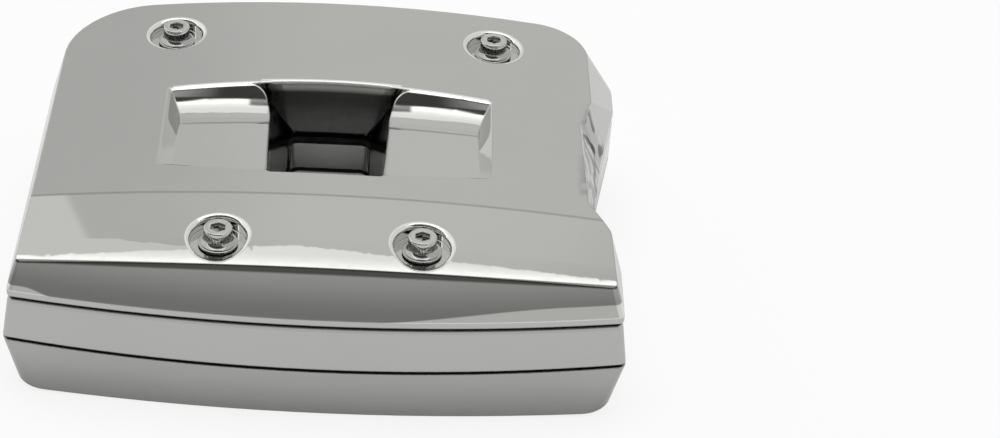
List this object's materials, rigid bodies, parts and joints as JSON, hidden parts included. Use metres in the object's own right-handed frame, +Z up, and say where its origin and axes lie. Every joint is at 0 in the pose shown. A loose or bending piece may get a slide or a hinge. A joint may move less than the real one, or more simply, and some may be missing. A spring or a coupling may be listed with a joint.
{
  "type": "engine valve cover",
  "caption": "Layered chromed engine valve cover with an arched top, wedge pocket and rectangular through window, notched on its right side and held by recessed cap screws.",
  "frame": {"origin": "middle of the overall box in plan, on the lower box's bottom face", "axes": "+X to the right seen from the side with the front slope, +Y to the back, +Z up, away from the cylinder head"},
  "size_m": [0.211, 0.1716, 0.0656],
  "materials": {
    "chrome": "polished chrome plate on a casting",
    "screw_chrome": "polished chrome plate",
    "gasket_rubber": "dark moulded gasket",
    "seal_rubber": "black rubber",
    "dowel_steel": "ground steel",
    "baffle_steel": "plain zinc-plated steel"
  },
  "bodies": {
    "root": {"upper_cover": "chrome", "middle_spacer": "chrome", "lower_box": "chrome", "upper_gasket": "gasket_rubber", "lower_gasket": "gasket_rubber", "cover_screw_front_left": "screw_chrome", "collar_washer_front_left": "screw_chrome", "seal_washer_front_left": "seal_rubber", "cover_screw_front_right": "screw_chrome", "collar_washer_front_right": "screw_chrome", "seal_washer_front_right": "seal_rubber", "cover_screw_rear_left": "screw_chrome", "collar_washer_rear_left": "screw_chrome", "seal_washer_rear_left": "seal_rubber", "cover_screw_rear_right": "screw_chrome", "collar_washer_rear_right": "screw_chrome", "seal_washer_rear_right": "seal_rubber", "dowel_upper_left": "dowel_steel", "dowel_upper_right": "dowel_steel", "dowel_lower_left": "dowel_steel", "dowel_lower_right": "dowel_steel", "breather_valve": "seal_rubber", "breather_baffle": "baffle_steel", "baffle_screw_front": "baffle_steel", "baffle_screw_rear": "baffle_steel"}
  },
  "joints": []
}
